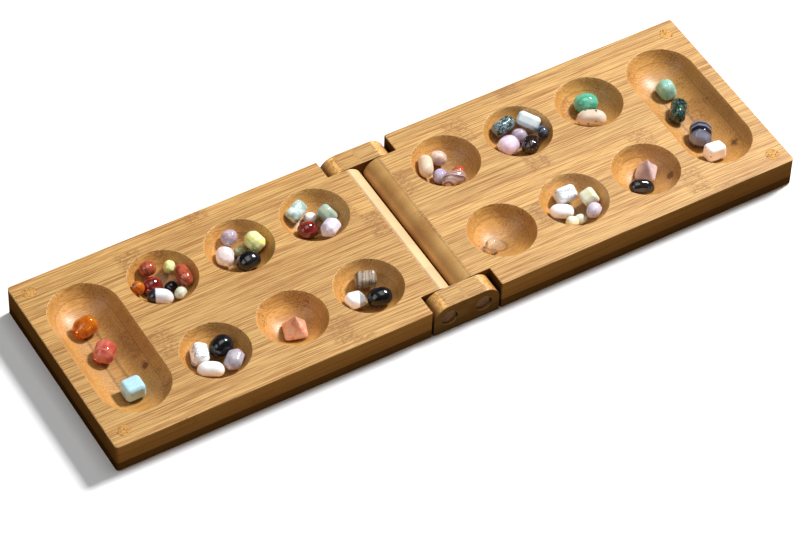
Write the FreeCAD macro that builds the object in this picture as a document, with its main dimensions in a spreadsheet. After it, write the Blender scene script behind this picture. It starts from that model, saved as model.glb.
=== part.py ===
import FreeCAD, Part
import math
import os

import Sketcher

DOC = FreeCAD.newDocument("folding_mancala_board")

# Driving sizes in millimetres, one named cell each
SIZES = {
    # the two board halves
    "half_length": 218.0,
    "board_width": 130.0,
    "board_thickness": 20.5,
    "corner_radius": 2.0,
    "fold_gap": 1.5,
    # the round pits, their columns and rows
    "pit_radius": 20.0,
    "pit_depth": 14.0,
    "pit_first": 43.0,
    "pit_pitch": 48.1,
    "pit_row": 30.4,
    # the long store at each end
    "store_half_width": 20.9,
    "store_depth": 14.0,
    "store_centre": 188.4,
    "store_half_run": 28.5,
    # the hinge links at both sides of the fold
    "link_thickness": 13.0,
    "link_side_gap": 0.4,
    "link_end_gap": 0.95,
    # the dowels that the links turn on
    "dowel_radius": 5.0,
    "dowel_running_gap": 0.08,
    "dowel_glue_gap": 0.03,
    "dowel_recess": 1.6,
    "dowel_seat": 22.0,
    "dowel_end_gap": 0.5,
    # the closing magnets and the wooden plugs over them
    "plug_radius": 4.0,
    "plug_thickness": 3.0,
    "plug_glue_gap": 0.03,
    "plug_inset": 9.2,
    "magnet_thickness": 4.0,
    # how far a cutter reaches past what it cuts
    "cutter_rise": 1.0,
    # the playing stones' gap to the ball that their hollow follows
    "stone_gap": 0.25,
}

# Each kind of stone: base length and width, height, length and width of its top, and the
# width of its worn edges
STONE_KINDS = {
    "boulder": (16.0, 13.5, 10.0, 12.5, 10.0, 3.2),
    "nugget": (14.0, 11.5, 9.0, 11.0, 9.0, 2.8),
    "pebble": (11.0, 9.5, 8.0, 9.0, 7.5, 2.4),
    "chip": (8.5, 7.0, 6.0, 6.5, 5.5, 1.7),
    "bean": (17.0, 9.5, 8.5, 13.5, 7.5, 2.5),
    "cube": (9.5, 9.5, 8.5, 9.0, 9.0, 1.4),
    "slab": (15.0, 9.5, 6.0, 13.0, 8.0, 1.6),
    "block": (13.0, 9.5, 9.5, 12.0, 8.5, 1.5),
    "wedge": (13.0, 9.5, 9.5, 6.5, 7.5, 1.6),
    "pyramid": (14.0, 14.0, 12.0, 5.0, 5.0, 1.4),
    "gem": (16.0, 13.0, 10.0, 12.5, 10.0, 3.0),
    "rock": (18.5, 14.5, 12.0, 14.5, 11.5, 3.6),
    "brick": (12.5, 11.5, 10.0, 12.0, 11.0, 1.6),
    "drop": (14.5, 11.0, 10.5, 7.5, 8.5, 1.7),
    "long_bean": (19.5, 10.5, 9.5, 15.5, 8.5, 2.8),
    "spire": (15.5, 15.5, 13.0, 4.5, 4.5, 1.4),
}
KIND_SIZES = ("length", "width", "height", "top_length", "top_width", "wear")

# The stones of each hollow: kind, place from the hollow's middle along X and Y, turn in degrees
STONES = {
    "left_store": [("gem", -1.5, 25.5, 15), ("gem", -0.5, 4.5, 50), ("brick", 0.5, -26.5, 0)],
    "left_back_outer": [
        ("nugget", -5, 3, 10), ("bean", -6, -8, -30), ("bean", 11.5, -1.5, 85),
        ("pebble", -3, 12, 5), ("chip", 5.5, -10, 30), ("chip", 8.5, 9, 45),
        ("chip", 4.5, -0.5, 0), ("chip", -14, 2, -35),
    ],
    "left_back_middle": [
        ("boulder", 1.5, -7.5, 10), ("nugget", 10.5, 2, -80), ("nugget", -8, 1.5, 60),
        ("pebble", 0, 11.5, 0), ("chip", 2.5, 4, 0),
    ],
    "left_back_inner": [
        ("nugget", 5, -9, 30), ("nugget", -5, -2, 0), ("wedge", 8.5, 2, -80),
        ("slab", -5.5, 10.5, 30), ("chip", 1, 6.5, -15),
    ],
    "left_front_outer": [
        ("bean", -6.5, -7, -20), ("nugget", 7.5, -7, 45), ("boulder", 6, 5, 15),
        ("block", -7, 5, 70),
    ],
    "left_front_middle": [("spire", 1, -0.5, 70)],
    "left_front_inner": [("nugget", -9, -1.5, 15), ("boulder", 4, -5, -25), ("block", 3, 8.5, -20)],
    "right_back_inner": [
        ("bean", -1, -10.5, 0), ("bean", -10, 5, 65), ("pebble", -4.5, -2, 50),
        ("pebble", 0.5, 9, -30), ("chip", 6, -3.5, 0),
    ],
    "right_back_middle": [
        ("boulder", -7, -2, 30), ("nugget", 4, -8, 50), ("bean", -3, 10.5, 15),
        ("slab", 11, 6.5, -60), ("pebble", 3.5, 3.5, -15), ("chip", 13.5, -4.5, 70),
    ],
    "right_back_outer": [("boulder", 2, 5.5, -15), ("long_bean", -2.5, -7.5, -35)],
    "right_front_inner": [("pebble", -5.5, -1, 20)],
    "right_front_middle": [
        ("bean", -7.5, 0, -10), ("block", 0, 9, 0), ("cube", 10.5, 0.5, 85),
        ("pebble", 7.5, -9, 35), ("chip", -0.5, -8, 0), ("chip", -7.5, -10.5, 0),
    ],
    "right_front_outer": [("pyramid", 3.5, 4, 45), ("bean", -6.5, -6.5, -20)],
    "right_store": [
        ("drop", 1, 24.5, 90), ("long_bean", -2.5, 6, 50), ("rock", -2, -16.5, 55),
        ("block", -2.5, -32, 0),
    ],
}

# A bowl has this many flat sides, and this many rings from its floor to its rim
BOWL_SIDES = 32
BOWL_RINGS = 6

# What follows from the driving sizes, as expressions
PIN_HEIGHT = "(Sizes.board_thickness / 2)"
EDGE_RADIUS = "(Sizes.board_thickness / 2)"
PIN_OFFSET = "((Sizes.board_thickness + Sizes.fold_gap) / 2)"
LINK_HALF_LENGTH = f"({PIN_OFFSET} + {EDGE_RADIUS})"
NOTCH_WALL = f"({LINK_HALF_LENGTH} + Sizes.link_end_gap)"
TONGUE_SIDE = "(Sizes.board_width / 2 - Sizes.link_thickness - Sizes.link_side_gap)"
DOWEL_FACE = "(Sizes.board_width / 2 - Sizes.dowel_recess)"
DOWEL_LENGTH = f"({DOWEL_FACE} - {TONGUE_SIDE} + Sizes.dowel_seat)"
PLUG_X = "(Sizes.half_length - Sizes.plug_inset)"
PLUG_Y = "(Sizes.board_width / 2 - Sizes.plug_inset)"
PLUG_BASE = "(Sizes.board_thickness - Sizes.plug_thickness)"
MAGNET_BASE = f"({PLUG_BASE} - Sizes.plug_glue_gap - Sizes.magnet_thickness)"

SIDES = {"left": -1, "right": 1}
ROWS = {"front": -1, "back": 1}
COLUMNS = ("inner", "middle", "outer")


def make_sheet():
    """The spreadsheet of driving sizes, with one named cell for each."""
    sheet = DOC.addObject("Spreadsheet::Sheet", "Sizes")
    cells = dict(SIZES)
    for kind, values in STONE_KINDS.items():
        for part, value in zip(KIND_SIZES, values):
            cells[f"{kind}_{part}"] = value
    for row, (alias, value) in enumerate(cells.items(), start=1):
        sheet.set(f"A{row}", alias)
        sheet.set(f"B{row}", str(value))
        sheet.setAlias(f"B{row}", alias)
    DOC.recompute()
    return sheet


SHEET = make_sheet()


def size(alias):
    """The value of one named cell."""
    return float(SHEET.get(alias))


def bind(item, **expressions):
    """Bind properties of an object to expressions of the named cells."""
    for name, expression in expressions.items():
        item.setExpression(name, expression)
    return item


def place(item, **expressions):
    """Bind the object's place along x, y or z to expressions of the named cells."""
    for axis, expression in expressions.items():
        item.setExpression(f"Placement.Base.{axis}", expression)
    return item


def new_part(kind, label):
    """A new object of the Part workbench with its own label."""
    item = DOC.addObject(f"Part::{kind}", label)
    item.Label = label
    return item


def placed_copy(source, label):
    """The same shape once more, with a placement of its own."""
    copy = new_part("Compound", label)
    copy.Links = [source]
    return copy


def turned(axis, degrees):
    """A placement that only turns, about an axis through the origin."""
    return FreeCAD.Placement(FreeCAD.Vector(), FreeCAD.Rotation(axis, degrees))


def origin_part(body, role):
    """One of a body's own origin planes or axes."""
    return next(part for part in body.Origin.OriginFeatures if part.Role == role)


def new_body(label):
    """An empty body with its own label."""
    body = DOC.addObject("PartDesign::Body", label)
    body.Label = label
    return body


def new_feature(body, kind, name, **properties):
    """A feature of a body with its plain properties set."""
    feature = body.newObject(f"PartDesign::{kind}", name)
    for key, value in properties.items():
        setattr(feature, key, value)
    body.Tip = feature
    return feature


def new_sketch(body, name, role, **offset):
    """A sketch on an origin plane of its body, moved by the expressions in offset."""
    sketch = body.newObject("Sketcher::SketchObject", name)
    sketch.AttachmentSupport = [(origin_part(body, role), "")]
    sketch.MapMode = "FlatFace"
    for axis, expression in offset.items():
        sketch.setExpression(f"AttachmentOffset.Base.{axis}", expression)
    return sketch


def add_outline(sketch, points):
    """A closed outline of straight edges whose corners lie roughly at the points."""
    corners = [FreeCAD.Vector(*point) for point in points]
    for start, end in zip(corners, corners[1:] + corners[:1]):
        sketch.addGeometry(Part.LineSegment(start, end), False)
    count = len(corners)
    for edge in range(count):
        following = (edge + 1) % count
        sketch.addConstraint(Sketcher.Constraint("Coincident", edge, 2, following, 1))


def hold(sketch, edge, end, x=None, y=None):
    """Hold an end of an edge at expressions measured from the sketch's origin."""
    for kind, expression in (("DistanceX", x), ("DistanceY", y)):
        if expression is None:
            continue
        index = sketch.addConstraint(Sketcher.Constraint(kind, -1, 1, edge, end, 1.0))
        sketch.setExpression(f"Constraints[{index}]", expression)


def mirror_start(sketch, edge, twin, axis):
    """Keep the starts of two edges mirrored about an axis of the sketch."""
    sketch.addConstraint(Sketcher.Constraint("Symmetric", edge, 1, twin, 1, axis))


def add_hole_circle(sketch, x, y, radius):
    """A circle at two expressions with a radius given by a third."""
    circle = Part.Circle(FreeCAD.Vector(5, 5, 0), FreeCAD.Vector(0, 0, 1), 5)
    edge = sketch.addGeometry(circle, False)
    hold(sketch, edge, 3, x, y)
    index = sketch.addConstraint(Sketcher.Constraint("Radius", edge, 5.0))
    sketch.setExpression(f"Constraints[{index}]", radius)


def same(value, target):
    """Whether two lengths are the same to a thousandth."""
    return abs(value - target) < 0.001


def edges_where(feature, test):
    """Names of a feature's straight edges whose two ends pass the test."""
    names = []
    for number, edge in enumerate(feature.Shape.Edges, start=1):
        ends = [vertex.Point for vertex in edge.Vertexes]
        if len(ends) == 2 and all(test(point) for point in ends):
            names.append(f"Edge{number}")
    return names


def upright(feature, name):
    """Whether a named edge runs straight up."""
    low, high = (vertex.Point for vertex in feature.Shape.getElement(name).Vertexes)
    return same(low.x, high.x) and same(low.y, high.y)


def plate_outline(body):
    """Plan of one half: a long plate whose two inner corners are notched for the links."""
    sketch = new_sketch(body, "outline", "XY_Plane")
    back = [(1, 50), (20, 50), (20, 60), (200, 60)]
    front = [(x, -y) for x, y in reversed(back)]
    add_outline(sketch, back + front)
    places = [
        ("Sizes.fold_gap / 2", TONGUE_SIDE),
        (NOTCH_WALL, TONGUE_SIDE),
        (NOTCH_WALL, "Sizes.board_width / 2"),
        ("Sizes.half_length", "Sizes.board_width / 2"),
    ]
    for corner, (x, y) in enumerate(places):
        hold(sketch, corner, 1, x, y)
        mirror_start(sketch, corner, 2 * len(places) - 1 - corner, -1)
    return sketch


def make_plate():
    """Half of the board before its hollows are cut, drawn at +X with the fold at x = 0."""
    body = new_body("plate")
    slab = new_feature(body, "Pad", "plate_pad", Profile=plate_outline(body))
    bind(slab, Length="Sizes.board_thickness")
    DOC.recompute()

    end = size("half_length")
    corners = edges_where(slab, lambda point: same(point.x, end))
    corners = [name for name in corners if upright(slab, name)]
    rounding = new_feature(body, "Fillet", "end_corners", Base=(slab, corners))
    bind(rounding, Radius="Sizes.corner_radius")
    DOC.recompute()

    inner = size("fold_gap") / 2
    top = size("board_thickness")
    edge = edges_where(rounding, lambda point: same(point.x, inner) and same(point.z, top))
    rolled = new_feature(body, "Fillet", "rolled_edge", Base=(rounding, edge))
    bind(rolled, Radius=EDGE_RADIUS)

    circle = new_sketch(body, "dowel_circle", "XZ_Plane", z=f"-{TONGUE_SIDE}")
    add_hole_circle(circle, PIN_OFFSET, PIN_HEIGHT, "Sizes.dowel_radius + Sizes.dowel_glue_gap")
    bore = new_feature(body, "Pocket", "dowel_bore", Profile=circle, Reversed=True)
    bind(bore, Length="Sizes.dowel_seat + Sizes.dowel_end_gap")
    across = (origin_part(body, "XZ_Plane"), [""])
    new_feature(body, "Mirrored", "dowel_bores", Originals=[bore], MirrorPlane=across)

    circles = new_sketch(body, "plug_circles", "XY_Plane", z="Sizes.board_thickness")
    for sign in ("", "-"):
        plug_bore = "Sizes.plug_radius + Sizes.plug_glue_gap"
        add_hole_circle(circles, PLUG_X, f"{sign}{PLUG_Y}", plug_bore)
    seats = new_feature(body, "Pocket", "plug_bores", Profile=circles)
    bind(seats, Length=f"Sizes.board_thickness - {MAGNET_BASE} + Sizes.plug_glue_gap")
    return body


def ring_corner(half_width, depth, ring):
    """Radius and height of one ring of a bowl: the rings lie on a ball, the floor is flat."""
    ball = f"(({half_width} ^ 2 + {depth} ^ 2) / (2 * {depth}))"
    angle = f"({ring} / {BOWL_RINGS} * asin({half_width} / {ball}))"
    floor = f"Sizes.board_thickness - {depth}"
    if ring == 1:
        return f"{ball} * sin({angle})", floor
    return f"{ball} * sin({angle})", f"{floor} + {ball} * (1 - cos({angle}))"


def hollow_section(name, half_width, depth):
    """Section of a hollow from rim to rim, standing on the XZ plane, with a lid above."""
    sketch = DOC.addObject("Sketcher::SketchObject", f"{name}_section")
    sketch.Placement = turned(FreeCAD.Vector(1, 0, 0), 90)
    rings = range(1, BOWL_RINGS + 1)
    right = [(4 * ring, ring * ring / 3) for ring in rings] + [(4 * BOWL_RINGS, 15)]
    left = [(-x, y) for x, y in reversed(right)]
    add_outline(sketch, left + right)
    corners = len(left)
    for ring in rings:
        corner = corners + ring - 1
        hold(sketch, corner, 1, *ring_corner(half_width, depth, ring))
        mirror_start(sketch, corner, corners - ring, -2)
    lid = 2 * corners - 1
    rim_radius = ring_corner(half_width, depth, BOWL_RINGS)[0]
    hold(sketch, lid, 1, rim_radius, "Sizes.board_thickness + Sizes.cutter_rise")
    mirror_start(sketch, lid, 0, -2)
    return sketch


def make_trough(section, label, length):
    """A straight trough along Y: the section drawn out to both sides of the XZ plane."""
    trough = new_part("Extrusion", label)
    trough.Base = section
    trough.DirMode = "Normal"
    trough.Symmetric = True
    trough.Solid = True
    return bind(trough, LengthFwd=length)


def make_bowl(section, label, half_width):
    """A bowl with flat sides: what troughs that cross at even angles have in common."""
    troughs = []
    for number in range(BOWL_SIDES // 2):
        length = f"2 * ({half_width} + Sizes.cutter_rise)"
        trough = make_trough(section, f"{label}_trough_{number}", length)
        trough.Placement = turned(FreeCAD.Vector(0, 0, 1), 360 * number / BOWL_SIDES)
        troughs.append(trough)
    bowl = new_part("MultiCommon", label)
    bowl.Shapes = troughs
    return bowl


def column_place(column):
    """Distance of a column of pits from the fold."""
    return f"(Sizes.pit_first + {column} * Sizes.pit_pitch)"


def make_hollows():
    """The three columns and two rows of pits of one half, and its store, as one cutter."""
    pit = ("Sizes.pit_radius", "Sizes.pit_depth")
    bowl = make_bowl(hollow_section("pit", *pit), "pit_bowl", pit[0])
    cutters = []
    for column, column_name in enumerate(COLUMNS):
        for row_name, sign in ROWS.items():
            copy = placed_copy(bowl, f"pit_{row_name}_{column_name}")
            place(copy, x=column_place(column), y=f"{sign} * Sizes.pit_row")
            cutters.append(copy)

    store = ("Sizes.store_half_width", "Sizes.store_depth")
    section = hollow_section("store", *store)
    bowl = make_bowl(section, "store_bowl", store[0])
    pieces = [make_trough(section, "store_run", "2 * Sizes.store_half_run")]
    for row_name, sign in ROWS.items():
        end = placed_copy(bowl, f"store_{row_name}")
        pieces.append(place(end, y=f"{sign} * Sizes.store_half_run"))
    whole = new_part("MultiFuse", "store_hollow")
    whole.Shapes = pieces
    whole.Refine = True
    cutters.append(place(whole, x="Sizes.store_centre"))

    hollows = new_part("Compound", "hollows")
    hollows.Links = cutters
    return hollows


def make_boards():
    """The two halves of the board: the same piece, turned about Z to face its twin."""
    half = new_part("Cut", "half_board")
    half.Base = make_plate()
    half.Tool = make_hollows()
    boards = []
    for side, sign in SIDES.items():
        board = placed_copy(half, f"{side}_board")
        board.Placement = turned(FreeCAD.Vector(0, 0, 1), 90 - 90 * sign)
        boards.append(board)
    return boards


def make_link(label, turn):
    """A hinge link: square below, rounded above about each of its two dowel holes."""
    body = new_body(label)
    plan = new_sketch(body, f"{label}_plan", "XY_Plane")
    add_outline(plan, [(-20, -60), (20, -60), (20, -50), (-20, -50)])
    outer = "-Sizes.board_width / 2"
    hold(plan, 1, 1, LINK_HALF_LENGTH, outer)
    hold(plan, 2, 1, LINK_HALF_LENGTH, f"{outer} + Sizes.link_thickness")
    mirror_start(plan, 1, 0, -2)
    mirror_start(plan, 2, 3, -2)
    bar = new_feature(body, "Pad", f"{label}_bar", Profile=plan)
    bind(bar, Length="Sizes.board_thickness")
    DOC.recompute()

    end = bar.Shape.BoundBox.XMax
    top = size("board_thickness")
    edges = []
    for x in (-end, end):
        edges += edges_where(bar, lambda point: same(point.x, x) and same(point.z, top))
    rounded = new_feature(body, "Fillet", f"{label}_ends", Base=(bar, edges))
    bind(rounded, Radius=EDGE_RADIUS)

    circles = new_sketch(body, f"{label}_circles", "XZ_Plane", z="Sizes.board_width / 2")
    for sign in ("", "-"):
        hole = "Sizes.dowel_radius + Sizes.dowel_running_gap"
        add_hole_circle(circles, f"{sign}{PIN_OFFSET}", PIN_HEIGHT, hole)
    new_feature(body, "Pocket", f"{label}_holes", Profile=circles, Type="ThroughAll")
    body.Placement = turned(FreeCAD.Vector(0, 0, 1), turn)
    return body


def make_rod(label, radius, height):
    """A plain round rod, standing on its placement."""
    return bind(new_part("Cylinder", label), Radius=radius, Height=height)


def make_dowels():
    """The four dowels, glued into the tongues, on which the links turn."""
    dowels = []
    for side, sign in SIDES.items():
        for row_name, row in ROWS.items():
            dowel = make_rod(f"{side}_{row_name}_dowel", "Sizes.dowel_radius", DOWEL_LENGTH)
            dowel.Placement = turned(FreeCAD.Vector(1, 0, 0), 90 * row)
            place(dowel, x=f"{sign} * {PIN_OFFSET}", y=f"{row} * {DOWEL_FACE}", z=PIN_HEIGHT)
            dowels.append(dowel)
    return dowels


def make_closing_magnets():
    """A magnet near each outer corner, under a flush wooden plug."""
    pieces = []
    for side, sign in SIDES.items():
        for row_name, row in ROWS.items():
            corner = {"x": f"{sign} * {PLUG_X}", "y": f"{row} * {PLUG_Y}"}
            label = f"{side}_{row_name}"
            magnet = make_rod(f"{label}_magnet", "Sizes.plug_radius", "Sizes.magnet_thickness")
            plug = make_rod(f"{label}_plug", "Sizes.plug_radius", "Sizes.plug_thickness")
            pieces.append(place(magnet, z=MAGNET_BASE, **corner))
            pieces.append(place(plug, z=PLUG_BASE, **corner))
    return pieces


def make_stone_kind(kind):
    """A stone with a flat base and a smaller top, all of its edges worn."""
    rough = new_part("Wedge", f"{kind}_rough")
    base = {"X": "length", "Z": "width"}
    for axis, part in base.items():
        half = f"Sizes.{kind}_{part} / 2"
        half_top = f"Sizes.{kind}_top_{part} / 2"
        bind(rough, **{f"{axis}min": f"-{half}", f"{axis}max": half})
        bind(rough, **{f"{axis}2min": f"-{half_top}", f"{axis}2max": half_top})
    bind(rough, Ymin="0", Ymax=f"Sizes.{kind}_height")
    DOC.recompute()
    worn = new_part("Chamfer", f"{kind}_stone")
    worn.Base = rough
    wear = size(f"{kind}_wear")
    worn.Edges = [(edge, wear, wear) for edge in range(1, len(rough.Shape.Edges) + 1)]
    DOC.recompute()
    return worn


def floor_height(x, y, half_width, depth, half_run):
    """Height of a hollow's ball, less the stones' gap, at a place from its middle."""
    ball = (half_width**2 + depth**2) / (2 * depth)
    reach = math.hypot(x, max(abs(y) - half_run, 0))
    drop = math.sqrt(max((ball - size("stone_gap")) ** 2 - reach**2, 0))
    return size("board_thickness") - depth + ball - drop


def stone_rotation(x, y, turn, half_width, depth, half_run):
    """A stone's turn about its own upright, which then leans to the middle of the ball."""
    ball = (half_width**2 + depth**2) / (2 * depth)
    over = math.copysign(max(abs(y) - half_run, 0), y)
    lean = math.degrees(math.asin(min(math.hypot(x, over) / ball, 1)))
    upright_wedge = FreeCAD.Rotation(FreeCAD.Vector(1, 0, 0), 90)
    turned_wedge = FreeCAD.Rotation(FreeCAD.Vector(0, 0, 1), turn) * upright_wedge
    if lean == 0:
        return turned_wedge
    return FreeCAD.Rotation(FreeCAD.Vector(over, -x, 0), lean) * turned_wedge


def lay_stone(stone, x, y, turn, centre, hollow):
    """Place a stone in a hollow and lower it until its first corner meets the floor."""
    rotation = stone_rotation(x, y, turn, *hollow)
    corners = [rotation.multVec(vertex.Point) for vertex in stone.Links[0].Shape.Vertexes]
    middle = stone.Links[0].Shape.BoundBox.Center
    shift = FreeCAD.Vector(x, y, 0) - rotation.multVec(middle)
    shift.z = 0
    rest = max(
        floor_height(corner.x + shift.x, corner.y + shift.y, *hollow) - corner.z
        for corner in corners
    )
    spot = centre + shift + FreeCAD.Vector(0, 0, rest)
    stone.Placement = FreeCAD.Placement(spot, rotation)


def hollow_of(name):
    """Middle of a named hollow, and its half width, depth and half run."""
    side, row_name, *column_name = name.split("_")
    sign = SIDES[side]
    if row_name == "store":
        measures = (size("store_half_width"), size("store_depth"), size("store_half_run"))
        return FreeCAD.Vector(sign * size("store_centre"), 0, 0), measures
    column = COLUMNS.index(column_name[0])
    x = size("pit_first") + column * size("pit_pitch")
    y = ROWS[row_name] * size("pit_row")
    return FreeCAD.Vector(sign * x, y, 0), (size("pit_radius"), size("pit_depth"), 0)


def make_stones():
    """The loose playing stones, grouped by the hollow that they lie in."""
    kinds = {kind: make_stone_kind(kind) for kind in STONE_KINDS}
    groups = []
    for hollow_name, stones in STONES.items():
        centre, hollow = hollow_of(hollow_name)
        laid = []
        for number, (kind, x, y, turn) in enumerate(stones, start=1):
            stone = placed_copy(kinds[kind], f"{hollow_name}_stone_{number}")
            lay_stone(stone, x, y, turn, centre, hollow)
            laid.append(stone)
        group = new_part("Compound", f"stones_{hollow_name}")
        group.Links = laid
        groups.append(group)
    return groups


def check(sub_parts):
    """Stop if any object failed or any sub-part has no valid shape."""
    for item in DOC.Objects:
        if "Invalid" in item.State or "Error" in item.State:
            raise RuntimeError(f"{item.Name} could not be computed: {item.State}")
    for part in sub_parts:
        if part.Shape.isNull() or not part.Shape.isValid():
            raise RuntimeError(f"{part.Label} has no valid shape")


def main():
    """Build every sub-part, check them all and write one file for each."""
    sub_parts = make_boards()
    sub_parts.append(make_link("front_link", 0))
    sub_parts.append(make_link("back_link", 180))
    sub_parts += make_dowels()
    sub_parts += make_closing_magnets()
    sub_parts += make_stones()
    DOC.recompute()
    check(sub_parts)
    os.makedirs("parts", exist_ok=True)
    for part in sub_parts:
        part.Shape.exportStep(f"parts/{part.Label}.step")
        solids = len(part.Shape.Solids)
        print(f"{part.Label}: {solids} solids, {part.Shape.Volume:.1f} cubic mm")


main()
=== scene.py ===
"""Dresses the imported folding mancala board: bamboo halves with smooth hollows, hinge links,
dowels, plugs, magnets and polished stones, on a pale studio floor. All lengths are metres."""

import math

import bmesh
import bpy
import numpy as np
from bpy.props import FloatProperty, FloatVectorProperty, IntProperty, PointerProperty
from mathutils import Matrix, Vector


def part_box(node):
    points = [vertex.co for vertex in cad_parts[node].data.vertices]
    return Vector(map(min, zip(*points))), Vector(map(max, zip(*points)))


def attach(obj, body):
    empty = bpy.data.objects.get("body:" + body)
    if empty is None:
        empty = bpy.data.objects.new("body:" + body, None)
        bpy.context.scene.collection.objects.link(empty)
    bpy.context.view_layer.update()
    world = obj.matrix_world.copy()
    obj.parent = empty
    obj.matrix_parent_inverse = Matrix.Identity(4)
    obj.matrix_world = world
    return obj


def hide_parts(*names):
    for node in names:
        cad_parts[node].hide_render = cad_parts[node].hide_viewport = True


bl_info = {
    "name": "Folding mancala board",
    "version": (1, 0, 0),
    "blender": (4, 5, 0),
    "location": "View3D > Sidebar > Mancala",
    "description": "Bamboo board halves, hinge links, dowels, plugs, magnets and playing stones",
    "category": "Object",
}

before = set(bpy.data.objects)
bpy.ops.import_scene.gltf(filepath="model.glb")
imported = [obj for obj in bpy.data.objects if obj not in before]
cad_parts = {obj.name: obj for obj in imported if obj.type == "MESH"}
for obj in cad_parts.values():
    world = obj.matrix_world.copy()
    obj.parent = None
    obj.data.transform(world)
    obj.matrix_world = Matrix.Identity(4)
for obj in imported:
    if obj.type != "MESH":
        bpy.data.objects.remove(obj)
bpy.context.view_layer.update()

SIDES = {"left": -1, "right": 1}
ROWS = {"front": -1, "back": 1}
COLUMNS = ("inner", "middle", "outer")

BOARD_LOW, BOARD_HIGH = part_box("right_board")
LINK_LOW, LINK_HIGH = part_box("front_link")
DOWEL_LOW, DOWEL_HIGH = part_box("right_front_dowel")
PLUG_LOW, PLUG_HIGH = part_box("right_back_plug")
MAGNET_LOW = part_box("right_back_magnet")[0]
THICKNESS = BOARD_HIGH.z
PLY = THICKNESS / 3
PIN_X = (DOWEL_LOW.x + DOWEL_HIGH.x) / 2
PIN_Z = (DOWEL_LOW.z + DOWEL_HIGH.z) / 2
PLUG_X = (PLUG_LOW.x + PLUG_HIGH.x) / 2
PLUG_Y = (PLUG_LOW.y + PLUG_HIGH.y) / 2


def metres(name, default, description):
    """A length that a user may change."""
    return FloatProperty(name=name, default=default, description=description, unit="LENGTH")


def share(name, default, description):
    """A plain number from nought to one."""
    return FloatProperty(name=name, default=default, min=0, max=1, description=description)


def colour(name, default, description):
    """A linear colour that a user may change."""
    return FloatVectorProperty(
        name=name, default=default, description=description, subtype="COLOR", size=3, min=0, max=1
    )


class BoardSizes(bpy.types.PropertyGroup):
    """Sizes of the board that the boxes of its solids don't give."""

    pit_radius: metres("Pit radius", 0.020, "Radius of a pit at its rim")
    pit_depth: metres("Pit depth", 0.014, "Depth of a pit in its middle")
    pit_first: metres("First column", 0.043, "Distance of the inner pits from the fold")
    pit_pitch: metres("Column pitch", 0.0481, "Distance between columns of pits")
    pit_row: metres("Pit row", 0.0304, "Distance of a row of pits from the board's middle line")
    store_half_width: metres("Store half width", 0.0209, "Half the width of a store")
    store_depth: metres("Store depth", 0.014, "Depth of a store")
    store_half_run: metres("Store half run", 0.0285, "Half the straight run of a store")
    store_place: metres("Store place", 0.1884, "Distance of a store from the fold")
    link_gap: metres("Gap beside a link", 0.0004, "Gap between a link and the tongue beside it")
    notch_gap: metres("Gap at a link's end", 0.00095, "Gap between a link's end and the notch")
    rim: metres("Rim rounding", 0.00028, "Width of the worn rim of a hollow")
    edge: metres("Edge rounding", 0.0005, "Radius of the board's sanded edges")
    foot: metres("Foot rounding", 0.0009, "Radius of the board's lower edges")
    corner: metres("Corner radius", 0.002, "Radius of the outer corners in plan")
    notch_corner: metres("Notch corner", 0.0007, "Radius of the notches' outer corners in plan")
    plug_play: metres("Plug play", 0.00003, "Gap around a plug")
    dowel_play: metres("Dowel play", 0.00008, "Gap around a dowel in its link")


class BambooLook(bpy.types.PropertyGroup):
    """Colours and scale of the bamboo."""

    light: colour("Light fibre", (0.92, 0.565, 0.195), "The pale wood between fibres")
    dark: colour("Dark fibre", (0.455, 0.178, 0.026), "The darker fibre lines")
    bundle: colour("Fibre ends", (0.15, 0.045, 0.012), "The reddish ends of the fibre bundles")
    strip: metres("Strip width", 0.0195, "Width of the strips that a layer is glued up from")
    fibre: metres("Fibre width", 0.00055, "Width of the finest lines")
    bundle_pitch: metres("Bundle pitch", 0.00100, "Distance between fibre bundles")
    joint: metres("Culm joint pitch", 0.171, "Distance between a strip's mottled culm joints")
    # The upright sides' dark colour and how far it covers them: partly the sides' own darker tone, partly
    # painted shade
    side_colour_and_shade: colour("Stained side", (0.185, 0.073, 0.014), "The upright sides, which drink stain")
    side_tone_and_shade: share("Stain", 0.90, "How far the stain covers the upright sides")
    gloss: share("Roughness", 0.40, "Roughness of the varnish")


class StoneShape(bpy.types.PropertyGroup):
    """How the polished stones are drawn out of their plain solids."""

    steps: IntProperty(name="Steps", default=20, min=4, max=40, description="Grid steps per face")
    smooth: metres("Wear of smooth stones", 0.00065, "Roundness of the smooth stones' edges")
    faceted: metres("Wear of cut stones", 0.00024, "Roundness of the faceted stones' edges")
    dents: share("Dents", 0.025, "Depth of the worn hollows as a share of the size")
    seed: IntProperty(name="Seed", default=7, description="Start of the random dents")


class StudioLook(bpy.types.PropertyGroup):
    """Camera, lamps and floor."""

    aim: FloatVectorProperty(
        name="Aim", default=(-0.0143, -0.0216, 0.010), subtype="TRANSLATION", size=3,
        unit="LENGTH", description="The point in the middle of the picture",
    )
    azimuth: FloatProperty(
        name="Azimuth", default=math.radians(-32.1949), subtype="ANGLE",
        description="Turn of the camera about the vertical",
    )
    elevation: FloatProperty(
        name="Elevation", default=math.radians(48.26496), subtype="ANGLE",
        description="Height angle of the camera",
    )
    roll: FloatProperty(
        name="Roll", default=math.radians(2.35548), subtype="ANGLE", description="Tilt of the picture"
    )
    distance: metres("Distance", 2.12298, "Distance of the camera from its aim")
    lens: FloatProperty(
        name="Lens", default=169.1142, description="Focal length in millimetres", subtype="DISTANCE_CAMERA"
    )
    floor: colour("Floor", (0.86, 0.86, 0.86), "Colour of the floor")
    key_power: FloatProperty(name="Key", default=79.0, subtype="POWER", description="Key lamp")
    key_size: metres("Key size", 0.45, "Side of the key lamp")
    top_power: FloatProperty(name="Top", default=10.5, subtype="POWER", description="Top lamp")
    fill_power: FloatProperty(name="Fill", default=9.0, subtype="POWER", description="Fill lamp")
    top_size: metres("Top size", 1.2, "Side of the top and fill lamps")
    sky: FloatProperty(name="Sky", default=0.03, min=0, description="Strength of the even light")
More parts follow.
